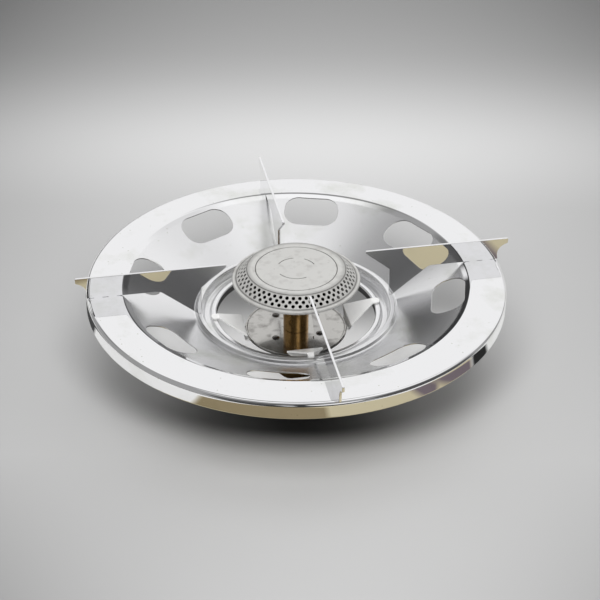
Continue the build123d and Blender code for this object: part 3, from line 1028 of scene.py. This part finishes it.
# %% Join the star
arm_corners = (
    (arm_start_r, arm_foot_z), (arm_fold[0], arm_foot_z), arm_fold,
    (arm_shelf_r, star_high_z), (arm_straight_r, star_high_z),
)
arm_bends = (0.5, 1.0, 2.0)
path = bent_path(arm_corners, arm_bends)
rows = [arm_loop(place, normal, arm_half(place)) for place, normal in path]
for radius, less in arm_end:
    place = Vector((radius, star_high_z)) * mm
    rows.append(arm_loop(place, Vector((0.0, 1.0)), arm_tip_half - less * mm))
arm = Sheet()
arm.add_bar(rows)
arm_mesh = arm.to_mesh("star_arm")
rework(arm_mesh, lambda work: bmesh.ops.recalc_face_normals(work, faces=work.faces))
hub_corners = (
    (hub_hole_r, star_low_z), (hub_hole_r, hub_top_z), (hub_r, hub_top_z), (hub_r, star_low_z),
)
hub_bends = (0.15, 0.15, 0.15, 0.15)
hub = turned_mesh("star_hub", closed_outline(hub_corners, hub_bends))
arms = copies_about_axis("star_arms", arm_mesh, arm_count, 0.0, painted_reflection_white)
holders = [put_in_scene(part.name, part) for part in (hub, arms)]
modifier = holders[0].modifiers.new("join", "BOOLEAN")
modifier.operation = "UNION"
modifier.object = holders[1]
graph = bpy.context.evaluated_depsgraph_get()
mesh = bpy.data.meshes.new_from_object(holders[0].evaluated_get(graph))
for holder in holders:
    bpy.data.objects.remove(holder)
mesh.name = "star_pressing"
mesh.materials.clear()
# The star takes the white of the painted reflection.
mesh.materials.append(painted_reflection_white)
mesh.set_sharp_from_angle(angle=star_sharp)
add_piece("star_pressing", mesh, "stove", "chrome", "spider")

# %% [markdown]
# The union nut is the one piece that turns. Its solid is smooth inside, at the thread's minor radius, and
# the real thread is cut here: a helix is a rule, so a grid of angle and height follows it, and the thread
# fades at both ends. The outside is a hexagon met by a cone at each end, as a turned hexagon bar is.

# %% Union nut
nut_top_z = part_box("union_nut")[1].z
nut_flat = 13.5 * mm
nut_corner_r = nut_flat / math.cos(math.pi / 6)
nut_chamfer = 1.2 * mm
cone_rise = nut_chamfer * math.tan(math.pi / 6)
cone_steps = 3
nut_relief_r = 10.0
nut_inside = ((7.05, 16.0), (7.05, 13.0), (nut_relief_r, 13.0), (nut_relief_r, 8.4))
thread_pitch = 1.5 * mm
thread_r = 9.2 * mm
thread_depth = 0.75 * mm
thread_low = 0.8 * mm
thread_high = 8.4 * mm
thread_rows = 56
thread_steepness = 1.15
nut_steps = 144
nut_sharp = math.radians(24.0)


def hexagon_r(angle):
    """Radius of the hexagon at an angle, with corners on +X."""
    return nut_flat / math.cos((angle % (math.pi / 3)) - math.pi / 6)


def nut_outside(angle, height):
    """The hexagon, cut back by a cone of 30 degrees at both ends."""
    from_end = min(height, nut_top_z - height)
    cone = nut_corner_r - nut_chamfer * (1 - from_end / cone_rise)
    return min(hexagon_r(angle), cone)


def thread_cut(angle, height):
    """How far the thread's groove lies outside the minor radius."""
    turn = (height / thread_pitch - angle / full_turn) % 1.0
    groove_shape = max(0.0, 1.0 - abs(2 * turn - 1.0) * thread_steepness)
    fade = min(1.0, (height - thread_low) / thread_pitch, (thread_high - height) / thread_pitch)
    return thread_depth * groove_shape * max(fade, 0.0)


print("thread of", round((thread_high - thread_low) / thread_pitch, 1), "turns")

# %% Weave the nut
angles = even_angles(nut_steps)
cone_heights = [cone_rise * step / cone_steps for step in range(cone_steps + 1)]
outside = cone_heights + [nut_top_z / 2] + [nut_top_z - height for height in reversed(cone_heights)]
rows = [[polar(nut_outside(angle, height), angle, height) for angle in angles] for height in outside]
rows += [[polar(radius * mm, angle, height * mm) for angle in angles] for radius, height in nut_inside]
for step in range(thread_rows + 1):
    height = thread_high + (thread_low - thread_high) * step / thread_rows
    rows.append([polar(thread_r + thread_cut(angle, height), angle, height) for angle in angles])
rows.append([polar(nut_relief_r * mm, angle, 0.0) for angle in angles])
rows.reverse()
nut = Sheet()
nut.add_grid([[(point,) for point in row] for row in rows], close_rows=True, close_columns=True)
mesh = nut.to_mesh("union_nut_threaded")
mesh.set_sharp_from_angle(angle=nut_sharp)
add_piece("union_nut_threaded", mesh, "nut", "brass", "union_nut")

# %% [markdown]
# The other pieces keep their solid shape and only take a finish: the heat disc, the fitting below it and
# what is hidden in the head.

# %% Finish the pieces that stay
for subpart in frame["record"]["subparts"]:
    solid = nodes[subpart["node"]]
    solid.data.materials.clear()
    solid.data.materials.append(finish[subpart["material_slot"]])
nodes["diffuser"].data.materials[0] = heat_stained

# %% [markdown]
# The stage is a pale floor with one large soft lamp above the front. Chrome is only as good as what it
# reflects, so the sky is made of soft cards, as in a photo studio: white overhead and behind, grey at the
# left, and dark in front with a window and two light patches. Each card is a direction with an inner and an
# outer half angle. The lamp itself is not seen in the chrome.

# %% Sky of soft cards
photo_turn = math.radians(11.0)
sky_base = 0.36
sky_seen = (0.62, 0.62, 0.62)

# A card has a name, its azimuth, height, inner and outer half angle in degrees, and its brightness.
sky_cards = (
    ("overhead", 90.0, 76.0, 13.0, 19.0, 1.06),
    ("high at the right", 40.0, 64.0, 17.0, 24.0, 1.06),
    ("behind", 70.0, 30.0, 31.0, 36.0, 0.98),
    ("haze at the right", 46.0, 54.0, 5.0, 14.0, 0.8),
    ("low haze at the right", 66.0, 8.0, 6.0, 16.0, 0.74),
    ("gap behind", 96.0, 57.0, 8.0, 14.0, 0.3),
    ("low behind at the left", 116.0, 28.0, 7.5, 11.0, 0.98),
    ("dark strip at the left", 127.0, 40.0, 4.0, 8.0, 0.2),
    ("low at the left", 132.0, 12.0, 7.0, 9.0, 1.05),
    ("front", -92.0, 26.0, 32.0, 38.0, 0.05),
    ("light patch in front", -95.3, 27.0, 3.6, 5.2, 1.05),
    ("low light in front", -92.8, 21.5, 2.6, 4.0, 1.05),
    ("front at the left", -116.0, 40.0, 16.0, 22.0, 0.11),
    ("front at the right", -20.0, 22.0, 26.0, 32.0, 0.09),
    ("window in front", -69.0, 32.0, 12.0, 14.0, 0.95),
)


def turned_coordinates(net, socket):
    """Coordinates in which X is the photo's right and Y is away from the camera."""
    place = net.place(socket)
    return net.add("ShaderNodeMapping", {"Vector": place, "Rotation": (0.0, 0.0, photo_turn)})


def add_card(net, direction, value, card):
    """Lay one soft card over the sky so far."""
    _, *degrees, brightness = card
    azimuth, height, inner, outer = (math.radians(angle) for angle in degrees)
    middle = polar(math.cos(height), azimuth, math.sin(height))
    towards = net.vector("DOT_PRODUCT", {0: direction, 1: middle}).outputs["Value"]
    mask = net.remap(towards, math.cos(outer), math.cos(inner), 0.0, 1.0)
    return net.add("ShaderNodeMix", {0: mask, 2: value, 3: brightness})


world = bpy.data.worlds.new("studio sky")
bpy.context.scene.world = world
world.use_nodes = True
net = Net(world.node_tree)
direction = turned_coordinates(net, "Generated")
value = sky_base
for card in sky_cards:
    value = add_card(net, direction, value, card)
seen = net.add("ShaderNodeLightPath").outputs["Is Camera Ray"]
colour = net.mix(seen, value, sky_seen)
net.feed(world.node_tree.nodes["Background"], {"Color": colour, "Strength": 1.0})
print("sky cards:", ", ".join(card[0] for card in sky_cards))

# %% [markdown]
# The floor is lightest behind the stove and darkens towards the back and the sides, which its own colour
# does, so no lamp is spent on it. Its colour also deepens the shade in front of the dish. Below the dish a
# soft glow stands for light that comes through the slots, and only the camera sees it. What the skirt
# mirrors lies outside the picture: cloths, a mat, dark gaps and a dark room. Only glossy rays see those.

# %% Floor values
floor_half = 4.0
floor_gloss = {"Roughness": 0.75, "Specular IOR Level": 0.1}
depth_span = (-0.3, 0.7)
depth_stops = (
    (0.0, 0.5), (0.14, 0.61), (0.3, 0.61), (0.5, 0.655), (0.6, 0.98), (0.7, 0.66), (0.78, 0.52), (0.9, 0.42),
)
fade_middle_x = 0.02
fade_behind = (0.1, 0.3, 3.4, 4.8)
fade_before = (-0.21, -0.09, 9.0, 0.3)
fade_most = 0.6
hidden_y = 0.084
hidden_edge = (0.098, 0.124, 0.0, 1.0)
shade_reach = (0.149, 0.178, 0.97, 0.0)
shade_power = 3.0
glow_reach = (0.025, 0.08, 0.4, 0.0)
# A painted shade of the floor below the dish, seen only in the chrome.
mirrored_shade_below = (0.1, 0.13, 0.85, 0.0)
zone_soft = 4.0 * mm
pale_mirrored = (0.85, 0.85, 0.84)

# A zone has a name, its span across the picture and away from the camera in metres, and its colour.
mirrored_zones = (
    ("beige cloth", (-0.117, 0.16), (-0.6, -0.08), (0.56, 0.5, 0.34)),
    ("brown cloth", (-0.117, 0.04), (-0.6, -0.143), (0.27, 0.22, 0.13)),
    ("beige at the right", (0.1, 0.6), (-0.155, -0.05), (0.56, 0.5, 0.34)),
    ("grey mat", (0.14, 0.16), (-0.155, -0.108), (0.17, 0.14, 0.155)),
    ("grey mat's end", (0.16, 0.183), (-0.155, -0.05), (0.17, 0.14, 0.155)),
    ("dark gap", (0.12, 0.6), (-0.047, -0.012), (0.02, 0.02, 0.02)),
    ("dark edge", (-0.6, -0.14), (0.02, 0.1), (0.06, 0.06, 0.06)),
    ("dark room", (-4.0, 4.0), (-4.0, -0.6), (0.03, 0.03, 0.03)),
)
print("the floor mirrors:", ", ".join(zone[0] for zone in mirrored_zones))


def grey_ramp(net, source, stops):
    """A smooth colour ramp of (position, grey) stops."""
    node = net.add("ShaderNodeValToRGB", {"Fac": source})
    ramp = node.color_ramp
    ramp.interpolation = "B_SPLINE"
    while len(ramp.elements) < len(stops):
        ramp.elements.new(0.5)
    for element, (position, grey) in zip(ramp.elements, stops):
        element.position = position
        element.color = (grey, grey, grey, 1.0)
    return node


def zone_mask(net, axes, spans):
    """1 inside a rectangle of the floor, with soft edges."""
    mask = 1.0
    for axis, (low, high) in zip("XY", spans):
        after = net.remap(axes[axis], low - zone_soft, low + zone_soft, 0.0, 1.0)
        before = net.remap(axes[axis], high - zone_soft, high + zone_soft, 1.0, 0.0)
        mask = net.math("MULTIPLY", mask, net.math("MULTIPLY", after, before))
    return mask


# %% Lay the floor
mesh = bpy.data.meshes.new("floor")
corners = [(x * floor_half, y * floor_half, 0) for x, y in square_corners]
mesh.from_pydata(corners, [], [(0, 1, 2, 3)])
floor = put_in_scene("floor", mesh)
material, net, shader = new_material("pale floor")
place = turned_coordinates(net, "Object")
axes = net.add("ShaderNodeSeparateXYZ", {0: place}).outputs
seen = net.add("ShaderNodeLightPath").outputs

# Its own colour is grey by depth and darker towards the sides.
plain = grey_ramp(net, net.remap(axes["Y"], *depth_span, 0.0, 1.0), depth_stops)
beside = net.math("SUBTRACT", axes["X"], fade_middle_x)
aside = net.math("MULTIPLY", beside, beside)
rate = net.math("ADD", net.remap(axes["Y"], *fade_behind), net.remap(axes["Y"], *fade_before))
fall_off = net.math("MINIMUM", net.math("MULTIPLY", aside, rate), fade_most)
plain = net.mix(fall_off, plain, black)

# The shade lies in front of what the dish hides, and the glow lies within it.
hidden_r = net.axis_distance(net.vector("SUBTRACT", {0: place, 1: (0.0, hidden_y, 0.0)}))
outside = net.remap(hidden_r, *hidden_edge, "SMOOTHSTEP")
ahead = net.math("DIVIDE", net.math("SUBTRACT", hidden_y, axes["Y"]), hidden_r)
frontal = net.math("POWER", net.math("MAXIMUM", ahead, 0.0), shade_power)
near = net.remap(hidden_r, *shade_reach, "SMOOTHSTEP")
shade = net.math("MULTIPLY", net.math("MULTIPLY", near, frontal), outside)
shaded = net.mix(shade, plain, black)
under = net.remap(axes["Y"], *glow_reach, "SMOOTHSTEP")
under = net.math("MULTIPLY", under, net.remap(outside, 0.0, 1.0, 1.0, 0.0))
glow = net.math("MULTIPLY", under, seen["Is Camera Ray"])

# The chrome sees the zones, and a painted shade on the floor below the dish, which only glossy rays see.
mirrored = pale_mirrored
for _, across, along, colour in mirrored_zones:
    mirrored = net.mix(zone_mask(net, axes, (across, along)), mirrored, colour)
mirrored = net.mix(net.remap(net.axis_distance(place), *mirrored_shade_below), mirrored, black)
colour = net.mix(seen["Is Glossy Ray"], shaded, mirrored)
net.feed(shader, {"Base Color": colour, "Emission Color": glow, "Emission Strength": 1.0, **floor_gloss})
mesh.materials.append(material)
print("the floor's material has", len(net.tree.nodes), "nodes")

# %% Lamp
lamp_place = Vector((-0.18, -0.92, 1.29))
lamp_size = 1.1
lamp_watts = 19.0

lamp_data = bpy.data.lights.new("front_softbox", "AREA")
lamp_data.size = lamp_size
lamp_data.energy = lamp_watts
lamp = put_in_scene("front_softbox", lamp_data)
lamp.location = lamp_place
lamp.rotation_euler = (aim - lamp_place).to_track_quat("-Z", "Y").to_euler()
lamp.visible_glossy = False
bpy.context.scene.view_settings.view_transform = "Standard"
print("one lamp of", lamp_watts, "W")
